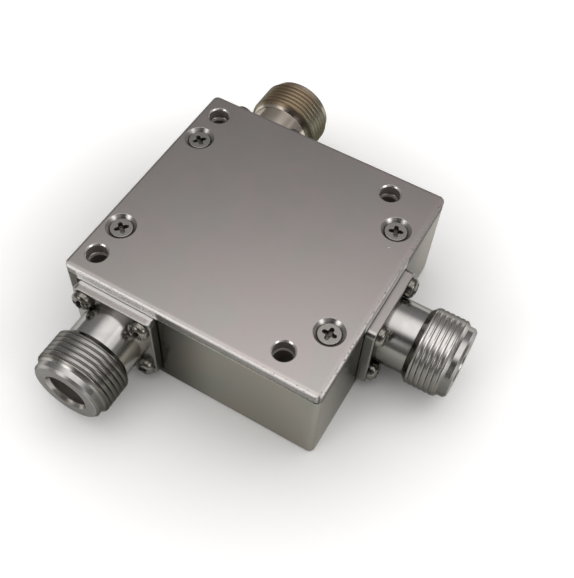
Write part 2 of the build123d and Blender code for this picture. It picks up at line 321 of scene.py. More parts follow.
def rollOff(finish, look, x, y, z):
    # the buffed top rolls off towards its front and right edges, more and more up to a crisp last step
    buffed = finish.lower(body["halfWidth"] - x, body["halfDepth"] + y)
    nearness = finish.range(buffed, 0.0, look["rollWidth"], 1.0, 0.0, smooth=False)
    roll = (-look["rollDrop"]) * nearness * nearness * finish.range(z, *look["rollHeight"])
    drop = finish.lower(body["top"] - z, look["crispDepth"]) * (1 - finish.range(buffed, *look["crispReach"]))
    return roll + drop * (1 + look["crispGrowth"] * drop)


def lidFinish():
    look = lidLook
    finish = Finish("platedLid", {"Specular Tint": rgb(look["edgeTint"])})
    x, y, z = finish.place()
    base, roughness, speckle = tinted(finish, look)
    inset = finish.lower(body["halfWidth"] - abs(x), body["halfDepth"] - abs(y))
    overPort = overFlange(finish, x, y)
    # the milled sides are grainy, and darker where they meet the housing
    side = (1 - finish.range(inset, *look["sideReach"])) * (1 - finish.range(z, *look["sideTop"]))
    grit = finish.blotches(look["gritSize"], detail=1.0, shift=19.0)
    grainy = finish.mix(finish.range(grit, *look["gritSpan"]), *tones(look["side"], *look["gritTones"]))
    base = finish.mix(side, base, grainy)
    joint = 1 - finish.beyond(z, body["seam"], look["jointBand"])
    joint = joint * side * (1 - overPort) * finish.range(grit, *look["jointSpan"])
    base = base * (1 - (1 - look["jointTone"]) * joint)
    roughness = roughness + side * (look["sideRoughness"] - look["roughness"])
    # a painted highlight along the front half of the edge, brightest on the left
    edgeHighlightMask = (1 - finish.range(inset, *look["edgeHighlightReach"])) * finish.range(z, *look["edgeHighlightHeight"])
    edgeHighlightMask = edgeHighlightMask * (1 - finish.range(y, *look["edgeHighlightBack"]))
    edgeHighlightColour = finish.mix(finish.range(x, *look["edgeHighlightAcross"]), rgb(look["paintedEdgeHighlightLeft"]), rgb(look["paintedEdgeHighlight"]))
    base = finish.mix(edgeHighlightMask, base, edgeHighlightColour)
    # small dark nicks along the edges, most of them on the right
    nick = finish.blotches(look["nickSize"], detail=1.0, shift=23.0)
    nearEdge = (1 - finish.range(inset, *look["nickReach"])) * finish.range(x, *look["nickAcross"])
    nicked = finish.range(nick, *look["nickSpan"]) * nearEdge
    base = base * (1 - look["nickShade"] * nicked)
    # the edge above a flange is speckled
    fleck = finish.blotches(look["fleckSize"], detail=1.0, shift=29.0)
    flecked = finish.range(fleck, *look["fleckSpan"]) * overPort
    flecked = flecked * (1 - finish.range(inset, *look["fleckReach"]))
    base = base * (1 - look["fleckShade"] * flecked)
    # a dark spot on the front right corner, and one short scratch
    spotX, spotY = look["spot"]
    spot = ((x - spotX) ** 2 + (y - spotY) ** 2) ** 0.5
    base = base * finish.range(spot, *look["spotSpan"])
    scratch = scratchMask(finish, look, x, y)
    base = finish.mix(scratch * finish.range(z, *look["scratchHeight"]), base, rgb(look["scratchColour"]))
    roughness = roughness + look["scratchRoughness"] * scratch + look["nickRoughness"] * nicked
    # the holes' walls are dull; the countersinks and the tops of the holes get a painted highlight, and the
    # foot of each cone a painted shadow
    hole = toNearest("holes", x, y)
    sunk = toNearest("screws", x, y)
    cone = 1 - finish.range(sunk, *look["sunkRadius"])
    coneShadow = cone * (1 - finish.range(sunk, *look["coneShadowRadius"]))
    holeRim = 1 - finish.beyond(hole, body["holeRadius"], look["holeEdgeBand"])
    rim = finish.higher(cone, holeRim * finish.range(z, *look["holeEdgeHeight"]))
    rim = (1 - finish.range(z, *look["sunkHeight"])) * rim
    wall = boredWall(finish, hole) * (1 - rim)
    base = finish.mix(wall, base, rgb(look["wall"]))
    cut = finish.mix(cone, rgb(look["holeEdge"]), rgb(look["sunk"]))
    base = finish.mix(rim, base, finish.mix(coneShadow, cut, rgb(look["paintedConeShadow"])))
    # above a flange the side gets a painted reflection of the flange, reaching higher above the front one
    front = finish.beyond(-y, body["halfDepth"], body["sideBand"])
    elsewhere = (1 - front) * finish.range(z, *look["highlightSideTop"])
    bright = look["highlightShare"] * side * overPort * (1 - elsewhere)
    bright = bright * (1 - finish.range(z, *look["highlightTop"]))
    highlightTones = tones(look["paintedHighlight"], *look["highlightTones"])
    paintedHighlight = finish.mix(finish.range(fleck, *look["highlightSpan"]), *highlightTones)
    finish.set("Base Color", finish.mix(bright, base, paintedHighlight))
    roughness = roughness + wall * (look["wallRoughness"] - roughness)
    roughness = roughness + rim * (look["sunkRoughness"] - roughness)
    finish.set("Roughness", roughness + bright * (look["highlightRoughness"] - roughness))
    metal = 1 - (1 - look["wallMetal"]) * wall
    finish.set("Metallic", metal + bright * (look["highlightMetal"] - metal))
    grain = look["grain"] * speckle + side * look["gritHeight"] * grit
    relief = rollOff(finish, look, x, y, z) + grain - look["nickDepth"] * nicked
    finish.emboss(relief, look["edge"], finish.range(z, *look["edgeFrom"]))
    return finish.material


housingLook = {
    "colour": (0.324, 0.310, 0.273), "warm": (0.341, 0.310, 0.273), "cool": (0.302, 0.307, 0.271),
    "edgeTint": (0.70, 0.69, 0.65), "roughness": 0.20, "grain": 0.0011, "edge": 0.14,
    "sideBand": (0.2, 0.05),
    # painted shade darkens the sides beside the flanges, and a dark line runs round each of them
    "paintedShadeReach": 13.0, "paintedShadeTone": 0.30, "paintedShadeRight": 1.12,
    "gapMiddle": 0.1, "gapSpan": (0.05, 0.50), "gapTone": 0.12, "gapRoughness": 0.2,
    # the joint under the lid is dark and speckled
    "seamBand": (0.34, 0.17), "seamTone": 0.16, "seamHoleBand": (-0.1, -0.2),
    "fleckSize": 0.5, "fleckSpan": (0.30, 0.55, 0.75, 1.0),
    # a painted highlight round the top of each hole, and a painted reflection on the strip above each flange
    "paintedHighlight": (0.92, 0.89, 0.87), "highlightMetal": 0.2, "highlightRoughness": 0.42,
    "rimBand": (1.05, 0.95), "stripBand": (0.05, -0.05), "stripShare": 0.8,
    "wall": (0.24, 0.21, 0.195), "wallMetal": 0.35, "wallRoughness": 0.5,
}


def pastFlange(finish, across, height):
    # how far a point of the body's side lies outside a flange's outline
    return finish.higher(abs(across), abs(height - body["portHeight"])) - body["flangeHalf"]


def housingFinish():
    look = housingLook
    finish = Finish("platedHousing", {"Specular Tint": rgb(look["edgeTint"])})
    x, y, z = finish.place()
    base, roughness, speckle = tinted(finish, look)
    ends = finish.beyond(abs(y), body["halfDepth"], look["sideBand"])
    right = finish.beyond(x, body["halfWidth"], look["sideBand"])
    sides = (
        (ends, pastFlange(finish, x - body["sidePortX"], z), 1.0),
        (right, pastFlange(finish, y, z), look["paintedShadeRight"]),
    )
    # painted shade on each side near its flange, and a dark line round the flange
    gap, paintedShade = 0.0, 0.0
    for face, past, share in sides:
        gap = gap + face * (1 - finish.range(abs(past - look["gapMiddle"]), *look["gapSpan"]))
        paintedShade = paintedShade + share * face * (1 - finish.range(past, 0.0, look["paintedShadeReach"]))
    base = base * (1 - (1 - look["paintedShadeTone"]) * paintedShade) * (1 - (1 - look["gapTone"]) * gap)
    hole = toNearest("holes", x, y)
    overPort = overFlange(finish, x, y)
    atSeam = finish.beyond(z, body["seam"], look["seamBand"])
    outside = finish.beyond(hole, body["holeRadius"], look["seamHoleBand"]) * (1 - overPort)
    fleck = finish.blotches(look["fleckSize"], detail=1.0, shift=31.0)
    joint = (1 - look["seamTone"]) * atSeam * outside * finish.range(fleck, *look["fleckSpan"])
    base = base * (1 - joint)
    # painted highlight round the top of each hole, painted reflection on the strip above each flange
    bored = boredWall(finish, hole)
    rim = bored * finish.beyond(z, body["seam"], look["rimBand"])
    strip = overPort * finish.beyond(z, body["portHeight"] + body["flangeHalf"], look["stripBand"])
    bright = finish.higher(rim, look["stripShare"] * strip)
    base = finish.mix(bored * (1 - rim), base, rgb(look["wall"]))
    finish.set("Base Color", finish.mix(bright, base, rgb(look["paintedHighlight"])))
    roughness = roughness + bored * (look["wallRoughness"] - look["roughness"]) + look["gapRoughness"] * gap
    finish.set("Roughness", roughness + bright * (look["highlightRoughness"] - roughness))
    metal = 1 - (1 - look["wallMetal"]) * bored
    finish.set("Metallic", metal + bright * (look["highlightMetal"] - metal))
    finish.emboss(look["grain"] * speckle, look["edge"])
    return finish.material


screwLook = {
    "screwHead": {
        "colour": (0.325, 0.310, 0.296), "shade": (0.280, 0.268, 0.252), "roughness": 0.27, "grain": 0.004,
    },
    "panHead": {
        "colour": (0.235, 0.222, 0.200), "shade": (0.150, 0.142, 0.125), "roughness": 0.22, "grain": 0.004,
    },
    # the recess's darker colour is painted shade
    "paintedRecessShade": {
        "colour": (0.17, 0.158, 0.142), "shade": (0.11, 0.102, 0.092), "roughness": 0.42, "grain": 0.006,
    },
}
screwSpeckle = {"size": 0.35, "span": (0.35, 0.65), "roughness": 0.12, "edge": 0.05}


def screwFinish(name):
    look = screwLook[name]
    finish = Finish(name, {"Metallic": 1.0})
    speckle = finish.blotches(screwSpeckle["size"], detail=3.0, shift=2.0)
    shaded = finish.range(speckle, *screwSpeckle["span"])
    finish.set("Base Color", finish.mix(shaded, rgb(look["colour"]), rgb(look["shade"])))
    finish.set("Roughness", look["roughness"] + screwSpeckle["roughness"] * (speckle - 0.5))
    finish.emboss(look["grain"] * speckle, screwSpeckle["edge"])
    return finish.material


# spans here run along the port from the body's side, or out from its axis
turnedLook = {
    "colour": (0.45, 0.435, 0.425), "shade": (0.405, 0.392, 0.378), "roughness": 0.19,
    "edge": 0.05, "edgeTint": (0.45, 0.45, 0.43),
    "lineSize": 0.12, "lineStretch": 0.03, "lineRoughness": 0.05, "lineHeight": 0.0012,
    "smearSize": 4.0, "smearSpan": (0.38, 0.62), "smearRoughness": 0.03,
    "threadStart": (8.7, 8.9), "threadStop": (15.2, 15.4), "threadRoughness": 0.06,
    "grooveRadius": (7.84, 7.90), "farSpan": (2.5, 6.0),
    # each port's shares of the colour, as painted shade or painted light: on the thread, on its far side, in
    # its grooves, and underneath
    "onThread": {1: 0.72, 2: 1.0, 3: 1.14},
    "farThread": {1: 0.80, 2: 1.0, 3: 0.30}, "farWay": {1: -1, 2: 1, 3: 1},
    "groove": {1: (0.74, 0.70, 0.64), 2: (0.80, 0.76, 0.70), 3: (1.22, 1.20, 1.17)},
    "underBarrel": {1: (1.25, 1.25, 1.22), 2: (0.70, 0.70, 0.66), 3: (0.48, 0.48, 0.445)},
    "underThread": {1: (0.38, 0.38, 0.355), 2: (0.62, 0.62, 0.58), 3: (0.38, 0.38, 0.36)},
    "underSpan": {1: (0.42, 0.84), 2: (0.10, 0.52), 3: (0.42, 0.84)},     # height over radius
    "barrelSpan": (7.9, 8.7),
    "noseSpan": (15.5, 15.8), "noseRoughness": {1: 0.09, 2: 0.05, 3: 0.03},
    "endSpan": (17.08, 17.16), "endTone": 0.80,
    # a lighter ring on the mouth's chamfer: a painted highlight
    "mouth": (0.40, 0.38, 0.35), "mouthRadius": (4.54, 4.62), "mouthSpan": (16.2, 16.4),
    # the bore is darker deeper in: painted shade
    "bore": (0.235, 0.215, 0.195), "boreMetal": 0.5, "boreRoughness": 0.5,
    "boreRadius": (4.06, 4.14), "boreSpan": (15.2, 16.4, 1.0, 0.3),
    # the back port is warmer, and its thread is browned, or olive towards its sides
    "brownedPort": 2, "warmed": (1.30, 1.19, 1.06),
    "brown": (0.272, 0.207, 0.140), "olive": (0.225, 0.212, 0.160), "brownRoughness": 0.30,
    "brownSpan": (7.6, 8.6), "brownRadius": (7.0, 7.4), "oliveSpan": (3.0, 7.0),
}


def turnedFinish(number):
    # fine lines of the lathe run round the port's axis
    look = turnedLook
    finish = Finish(f"turnedShell{number}", {"Specular Tint": rgb(look["edgeTint"])})
    out = portWays[number][1]
    x, y, z = finish.place()
    if out.x:
        along, across = x - body["halfWidth"], y
    else:
        along, across = y * out.y - body["halfDepth"], x - body["sidePortX"]
    height = z - body["portHeight"]
    radius = distance(across, height)
    stretch = tuple(1.0 if part else look["lineStretch"] for part in out)
    lines = finish.blotches(look["lineSize"], stretch=stretch)
    smear = finish.blotches(look["smearSize"], detail=2.0, shift=5.0)
    base = finish.mix(finish.range(smear, *look["smearSpan"]), rgb(look["colour"]), rgb(look["shade"]))
    roughness = look["roughness"] + look["smearRoughness"] * (smear - 0.5)
    roughness = roughness + look["lineRoughness"] * (lines - 0.5)
    threaded = finish.range(along, *look["threadStart"]) * (1 - finish.range(along, *look["threadStop"]))
    groove = threaded * (1 - finish.range(radius, *look["grooveRadius"]))
    # the thread's tone per port is painted shade or painted highlight, and its far side gets painted shade
    base = base * (1 - (1 - look["onThread"][number]) * threaded)
    far = finish.range(across * look["farWay"][number], *look["farSpan"]) * threaded
    base = base * (1 - (1 - look["farThread"][number]) * far)
    roughness = roughness + look["threadRoughness"] * threaded
    if number == look["brownedPort"]:
        base = base * look["warmed"]
        browned = finish.range(along, *look["brownSpan"]) * finish.range(radius, *look["brownRadius"])
        sideways = finish.range(abs(across), *look["oliveSpan"])
        tone = finish.mix(sideways, rgb(look["brown"]), rgb(look["olive"]))
        base = finish.mix(browned, base, tone)
        roughness = roughness + browned * (look["brownRoughness"] - look["roughness"])
    # the grooves get painted shade on two ports and a painted highlight on the third
    base = finish.mix(groove, base, base * look["groove"][number])
    # painted shade underneath, painted light under the front port's barrel, and a darker end face
    endFace = finish.range(along, *look["endSpan"])
    mouth = (1 - finish.range(radius, *look["mouthRadius"])) * finish.range(along, *look["mouthSpan"])
    lowSide = 1 - finish.range(height / radius, *look["underSpan"][number])
    lowSide = lowSide * (1 - finish.higher(endFace, mouth))
    underBarrel, underThread = rgb(look["underBarrel"][number]), rgb(look["underThread"][number])
    share = finish.mix(finish.range(along, *look["barrelSpan"]), underBarrel, underThread)
    base = finish.mix(lowSide, base, base * share)
    base = base * (1 - (1 - look["endTone"]) * endFace)
    # the mouth's chamfer gets a painted highlight
    base = finish.mix(mouth, base, rgb(look["mouth"]))
    roughness = roughness + look["noseRoughness"][number] * finish.range(along, *look["noseSpan"])
    # painted shade inside the bore, strongest deep in
    bored = (1 - finish.range(radius, *look["boreRadius"])) * finish.range(along, *look["boreSpan"])
    finish.set("Base Color", finish.mix(bored, base, rgb(look["bore"])))
    finish.set("Roughness", roughness + bored * (look["boreRoughness"] - look["roughness"]))
    finish.set("Metallic", 1 - (1 - look["boreMetal"]) * bored)
    finish.emboss(look["lineHeight"] * lines, look["edge"])
    return finish.material


milledLook = {
    # the sides' darker colour is painted shade
    "side": (0.235, 0.235, 0.215), "sideRoughness": 0.28,
    "top": (0.400, 0.372, 0.358), "topRoughness": 0.24, "topBand": (0.22, 0.1), "topTones": (0.96, 1.04),
    "sparkleSize": 0.18, "sparkleSpan": (0.35, 0.65), "sparkleHeight": 0.004,
    # a painted highlight on the front flange's top near the body
    "inner": (0.98, 0.965, 0.95), "innerMetal": 0.1, "innerSpan": (0.5, 1.2), "innerBand": (0.2, 0.1),
}


def milledFinish():
    # a flange's top edge has a fine sparkle, and its other edges are darker: painted shade
    look = milledLook
    finish = Finish("milledEdge", {})
    y, z = finish.place()[1:]
    sparkle = finish.blotches(look["sparkleSize"], detail=1.0)
    top = finish.beyond(z, body["portHeight"] + body["flangeHalf"], look["topBand"])
    # painted highlight on the front flange's top, near the body
    paintedEdgeHighlight = 1 - finish.range(-y - body["halfDepth"], *look["innerSpan"])
    paintedEdgeHighlight = paintedEdgeHighlight * finish.beyond(-y, body["halfDepth"], look["innerBand"])
    plated = finish.mix(finish.range(sparkle, *look["sparkleSpan"]), *tones(look["top"], *look["topTones"]))
    plated = finish.mix(paintedEdgeHighlight, plated, rgb(look["inner"]))
    finish.set("Base Color", finish.mix(top, rgb(look["side"]), plated))
    roughness = look["sideRoughness"], look["topRoughness"]
    finish.set("Roughness", finish.range(top, 0.0, 1.0, *roughness, smooth=False))
    finish.set("Metallic", 1 - (1 - look["innerMetal"]) * paintedEdgeHighlight * top)
    finish.emboss(look["sparkleHeight"] * sparkle * top)
    return finish.material


# the pieces inside: colour, metallic, roughness, spread of the colour, size of the speckle in millimetres
insideLook = {
    "insulator": ((0.80, 0.79, 0.76), 0.0, 0.38, 0.03, 0.8),
    "contact": ((0.86, 0.60, 0.26), 1.0, 0.22, 0.05, 0.5),
    "silver": ((0.82, 0.81, 0.78), 1.0, 0.25, 0.05, 1.5),
    "steel": ((0.52, 0.51, 0.50), 1.0, 0.35, 0.08, 1.2),
    "magnet": ((0.055, 0.055, 0.060), 0.0, 0.55, 0.15, 0.6),
    "ferrite": ((0.030, 0.028, 0.030), 0.0, 0.40, 0.15, 0.5),
    "ceramic": ((0.78, 0.76, 0.71), 0.0, 0.42, 0.04, 0.7),
    "rubber": ((0.13, 0.13, 0.135), 0.0, 0.70, 0.10, 0.5),
}
insideSpeckle = {"roughness": 0.12, "height": 0.003}


def insideFinish(name, colour, metallic, roughness, spread, size):
    finish = Finish(name, {"Metallic": metallic})
    speckle = finish.blotches(size, detail=3.0)
    finish.set("Base Color", finish.mix(speckle, *tones(colour, 1 - spread, 1 + spread)))
    finish.set("Roughness", roughness + insideSpeckle["roughness"] * (speckle - 0.5))
    finish.emboss(insideSpeckle["height"] * speckle)
    return finish.material


finishes = {name: insideFinish(name + "Finish", *look) for name, look in insideLook.items()}
finishes["lid"] = lidFinish()
finishes["housing"] = housingFinish()
for name in screwLook:
    finishes[name] = screwFinish(name)
finishes["milledEdge"] = milledFinish()
print("finishes mixed:", len(finishes))


# Mesh helpers: every ring has as many points as its neighbour, so that they bridge in order

mergeWithin = 1e-7     # metres


def ring(bm, place, radius, height, count):
    made = []
    for step in range(count):
        angle = 2 * pi * step / count
        made.append(bm.verts.new(place @ Vector((radius * cos(angle), radius * sin(angle), height))))
    return made


def bridge(bm, first, second):
    for step in range(len(first)):
        after = (step + 1) % len(first)
        bm.faces.new((first[step], first[after], second[after], second[step]))


def turned(bm, place, outline, count):
    # rings of (height, radius) points; a radius of zero closes the end
    last = None
    for height, radius in outline:
        if radius == 0:
            middle = bm.verts.new(place @ Vector((0, 0, height)))
            if last is None:
                last = middle
                continue
            for step in range(count):
                bm.faces.new((last[step], last[(step + 1) % count], middle))
            last = middle
            continue
        here = ring(bm, place, radius, height, count)
        if isinstance(last, bmesh.types.BMVert):
            for step in range(count):
                bm.faces.new((last, here[(step + 1) % count], here[step]))
        elif last is not None:
            bridge(bm, last, here)
        last = here
    return last


def loopEdges(loop):
    made = []
    for step, vert in enumerate(loop):
        after = loop[(step + 1) % len(loop)]
        made.append(next(edge for edge in vert.link_edges if after in edge.verts))
    return made


def fillBetween(bm, *loops):
    edges = [edge for loop in loops for edge in loopEdges(loop)]
    bmesh.ops.triangle_fill(bm, use_beauty=True, use_dissolve=False, edges=edges)


def objectOf(bm, name):
    mesh = bpy.data.meshes.new(name)
    bm.to_mesh(mesh)
    bm.free()
    made = bpy.data.objects.new(name, mesh)
    bpy.context.scene.collection.objects.link(made)
    return made


def solidOf(bm, name):
    bmesh.ops.recalc_face_normals(bm, faces=bm.faces)
    return objectOf(bm, name)


def pieceFrom(bm, name, materials, sharpAngle):
    piece = solidOf(bm, name)
    for face in piece.data.polygons:
        face.use_smooth = True
    piece.data.set_sharp_from_angle(angle=radians(sharpAngle))
    for material in materials:
        piece.data.materials.append(material)
    weighted = piece.modifiers.new("weightedNormals", "WEIGHTED_NORMAL")
    weighted.keep_sharp = True
    return piece


# Ports: the place of each has x across, y up and z outwards from the side of the body

def portPlace(number):
    across, out = portWays[number]
    low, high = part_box(f"port_{number}_shell")
    reach = abs((high - low).dot(out)) / 2
    place = Matrix((across, out.cross(across), out)).transposed().to_4x4()
    place.translation = (low + high) / 2 - out * reach
    return place @ Matrix.Scale(mm, 4)


shell = {
    "flangeSide": 17.5, "flangeThickness": 2.0, "flangeCorner": 1.2,
    "flangeEdge": 0.3, "backEdge": 0.12, "edgeSteps": 5, "cornerSteps": 8,
    "screwSpacing": 12.7, "holeRadius": 1.35, "holePoints": 32,
    "barrelRadius": 6.80, "barrelEnd": 7.9,
    "crestRadius": 7.94, "threadEnd": 14.9, "pitch": 1.058, "threadDepth": 0.15, "crestShare": 0.42,
    "noseRadius": 7.2, "length": 17.2, "noseChamfer": 0.5,
    "mouthRadius": 4.5, "mouthChamfer": 0.3, "socketRadius": 4.05, "socketFloor": 8.1, "lineRadius": 3.5,
    "points": 160, "rowsPerPitch": 14, "sharpAngle": 32,
}
# the thread slopes down to the nose
noseStart = shell["threadEnd"] + shell["crestRadius"] - shell["noseRadius"]


def flangeLoop(bm, place, inset, height):
    half = shell["flangeSide"] / 2 - inset
    corner = shell["flangeCorner"] - inset
    made = []
    for quarter in range(4):
        turn = Matrix.Rotation(quarter * pi / 2, 3, "Z")
        for step in range(shell["cornerSteps"] + 1):
            angle = step / shell["cornerSteps"] * pi / 2
            point = Vector((half - corner + corner * cos(angle), half - corner + corner * sin(angle), 0))
            made.append(bm.verts.new(place @ (turn @ point + Vector((0, 0, height)))))
    return made


def threadRadius(along):
    # a flat crest, then a rounded groove; along counts pitches
    half = shell["crestShare"] / 2
    place = abs((along % 1) - 0.5)
    groove = max(place - half, 0) / (0.5 - half)
    return shell["crestRadius"] - shell["threadDepth"] * (1 - cos(pi * groove)) / 2


def threadSkin(bm, place):
    # rows of points run along the helix, so that every crest is an edge of the mesh
    pitch = shell["pitch"]
    rows = shell["rowsPerPitch"]
    points = shell["points"]
    start = shell["barrelEnd"]
    rowCount = int((noseStart - start) / pitch * rows) + rows + 2
    columns = []
    for column in range(points):
        lead = pitch * column / points
        angle = 2 * pi * column / points
        made = []
        for row in range(rowCount):
            height = min(max(start + (row / rows - 1) * pitch + lead, start), noseStart)
            rise = shell["barrelRadius"] + height - start
            fall = shell["noseRadius"] + noseStart - height
            radius = min(threadRadius((height - lead - start) / pitch), rise, fall)
            made.append(bm.verts.new(place @ Vector((radius * cos(angle), radius * sin(angle), height))))
        columns.append(made)
    for column in range(points):
        after = columns[(column + 1) % points]
        skip = rows if column == points - 1 else 0
        for row in range(rowCount - 1):
            upper = (min(row + skip, rowCount - 1), min(row + 1 + skip, rowCount - 1))
            corners = [columns[column][row], after[upper[0]], after[upper[1]], columns[column][row + 1]]
            unique = list(dict.fromkeys(corners))
            if len(unique) > 2:
                bm.faces.new(unique)


def boreOutline():
    # (height, radius) points from the nose round the mouth to the back of the line's bore
    length, nose, mouth = shell["length"], shell["noseRadius"], shell["mouthRadius"]
    socket, line = shell["socketRadius"], shell["lineRadius"]
    noseChamfer, mouthChamfer = shell["noseChamfer"], shell["mouthChamfer"]
    return [
        (noseStart, nose), (length - noseChamfer, nose), (length, nose - noseChamfer),
        (length, mouth), (length - mouthChamfer, mouth - mouthChamfer / 2),
        (length - (mouth - socket) - mouthChamfer, socket),
        (shell["socketFloor"], socket), (shell["socketFloor"], line), (0, line),
    ]


def makeShell(number, finish):
    bm = bmesh.new()
    place = portPlace(number)
    points = shell["points"]
    thickness = shell["flangeThickness"]
    # flange, from its back face round the eased edge to its front face
    loops = [flangeLoop(bm, place, shell["backEdge"], 0), flangeLoop(bm, place, 0, shell["backEdge"])]
    for step in range(shell["edgeSteps"] + 1):
        angle = step / shell["edgeSteps"] * pi / 2
        inset = shell["flangeEdge"] * (1 - cos(angle))
        height = thickness - shell["flangeEdge"] * (1 - sin(angle))
        loops.append(flangeLoop(bm, place, inset, height))
    for lower, upper in zip(loops, loops[1:]):
        bridge(bm, lower, upper)
    for face in bm.faces:
        face.material_index = 1     # the flange's edges are milled, and all else is turned
    backHoles, frontHoles = [], []
    for across in (-0.5, 0.5):
        for up in (-0.5, 0.5):
            spot = Matrix.Translation((across * shell["screwSpacing"], up * shell["screwSpacing"], 0))
            backHoles.append(ring(bm, place @ spot, shell["holeRadius"], 0, shell["holePoints"]))
            frontHoles.append(ring(bm, place @ spot, shell["holeRadius"], thickness, shell["holePoints"]))
            bridge(bm, backHoles[-1], frontHoles[-1])
    # barrel, thread, nose and bore
    root = ring(bm, place, shell["barrelRadius"], thickness, points)
    barrelTop = ring(bm, place, shell["barrelRadius"], shell["barrelEnd"], points)
    bridge(bm, root, barrelTop)
    threadSkin(bm, place)
    back = turned(bm, place, boreOutline(), points)
    fillBetween(bm, loops[0], back, *backHoles)
    fillBetween(bm, loops[-1], root, *frontHoles)
    bmesh.ops.remove_doubles(bm, verts=bm.verts, dist=mergeWithin)
    piece = pieceFrom(bm, f"shell{number}", [finish, finishes["milledEdge"]], shell["sharpAngle"])
    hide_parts(f"port_{number}_shell")
    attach(piece, "root")


for number in portWays:
    makeShell(number, turnedFinish(number))
print("shells turned and threaded")


# Screws: the head's cross recess is cut once, then each screw is turned to its own angle

screwShape = {
    "radius": 1.25, "tipChamfer": 0.3, "points": 64, "sharpAngle": 38,
    "crossLength": 2.9, "crossWidth": 0.84, "crossDepth": 1.0, "crossTaper": 0.14, "rimEase": 0.04,
    "coneRadius": 0.78, "coneDepth": 1.35, "coneRise": 0.2, "conePoints": 24, "wingSteps": 4,
    "recessReach": 1.45, "recessStart": 0.10, "recessEnd": 1.5,
}

# the rim is eased in two steps, and a ring further in keeps the top flat; both are counted in eases
lidScrew = {
    "headRadius": 2.22, "land": 0.2, "ease": 0.08, "easeMiddle": 0.3, "easeRing": 1.6, "length": 8.0,
    "angles": (50, 50, 19, 0),
}

flangeScrew = {
    "headRadius": 2.1, "height": 1.6, "rimHeight": 0.8, "flatRadius": 1.1,
    "roundRadius": 1.4, "roundSteps": 8, "ease": 0.06, "reach": 4.4, "angles": (10, 35, 62, 80),
}


def crossLoop(bm, length, width, height):
    # outline of a cross with round ends
    half = width / 2
    made = []
    for quarter in range(4):
        turn = Matrix.Rotation(quarter * pi / 2, 3, "Z")
        outline = [Vector((half, -half, 0))]
        for step in range(screwShape["wingSteps"] + 1):
            angle = (step / screwShape["wingSteps"] - 0.5) * pi
            outline.append(Vector((length / 2 - half + half * cos(angle), half * sin(angle), 0)))
        made += [bm.verts.new(turn @ point + Vector((0, 0, height))) for point in outline]
    return made


def crossCutter():
    bm = bmesh.new()
    length, width = screwShape["crossLength"], screwShape["crossWidth"]
    depth, ease = screwShape["crossDepth"], screwShape["rimEase"]
    taper = screwShape["crossTaper"]
    wider = 4 * ease     # two eases on either side, over two of height, so that the rim slopes at 45 degrees
    loops = [
        crossLoop(bm, length + wider, width + wider, ease),
        crossLoop(bm, length, width, -ease),
        crossLoop(bm, length * (1 - taper), width * (1 - taper), -depth),
    ]
    for lower, upper in zip(loops, loops[1:]):
        bridge(bm, lower, upper)
    bm.faces.new(loops[0])
    bm.faces.new(loops[-1])
    return bm


def coneCutter():
    bm = bmesh.new()
    radius, depth, rise = screwShape["coneRadius"], screwShape["coneDepth"], screwShape["coneRise"]
    outline = [(rise, 0), (rise, radius * (1 + rise / depth)), (-depth, 0)]
    turned(bm, Matrix.Identity(4), outline, screwShape["conePoints"])
    return bm


def cutScrew(outline, name):
    # the outline has (height, radius) points with the head's top at zero
    bm = bmesh.new()
    turned(bm, Matrix.Identity(4), outline, screwShape["points"])
    blank = solidOf(bm, name)
    cutters = [solidOf(crossCutter(), name + "Cross"), solidOf(coneCutter(), name + "Cone")]
    for cutter in cutters:
        cut = blank.modifiers.new("recess", "BOOLEAN")
        cut.operation = "DIFFERENCE"
        cut.solver = "EXACT"
        cut.object = cutter
    shape = bpy.data.meshes.new_from_object(blank.evaluated_get(bpy.context.evaluated_depsgraph_get()))
    for spare in (blank, *cutters):
        bpy.data.objects.remove(spare)
    return shape


def inRecess(face):
    middle = face.calc_center_median()
    deep = -screwShape["recessEnd"] < middle.z < -screwShape["recessStart"]
    return deep and hypot(middle.x, middle.y) < screwShape["recessReach"]


def setScrews(name, shape, places, node, finish):
    bm = bmesh.new()
    for place in places:
        before = len(bm.verts)
        facesBefore = len(bm.faces)
        bm.from_mesh(shape)
        bm.verts.ensure_lookup_table()
        bm.faces.ensure_lookup_table()
        for face in bm.faces[facesBefore:]:
            face.material_index = int(inRecess(face))
        bmesh.ops.transform(bm, matrix=place, verts=bm.verts[before:])
    # the recess faces get the darker finish, a painted shade
    piece = pieceFrom(bm, name, [finishes[finish], finishes["paintedRecessShade"]], screwShape["sharpAngle"])
    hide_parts(node)
    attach(piece, "root")


def tipOutline(end):
    # the last (height, radius) points of a shank, round its chamfered tip
    shank, tip = screwShape["radius"], screwShape["tipChamfer"]
    return [(end + tip, shank), (end, shank - tip), (end, 0)]


def lidScrewOutline():
    head, land, ease = lidScrew["headRadius"], lidScrew["land"], lidScrew["ease"]
    middle, inner, shank = ease * lidScrew["easeMiddle"], ease * lidScrew["easeRing"], screwShape["radius"]
    return [
        (0, 0), (0, head - inner), (0, head - ease), (-middle, head - middle), (-ease, head), (-land, head),
        (-land - (head - shank), shank), *tipOutline(-lidScrew["length"]),
    ]


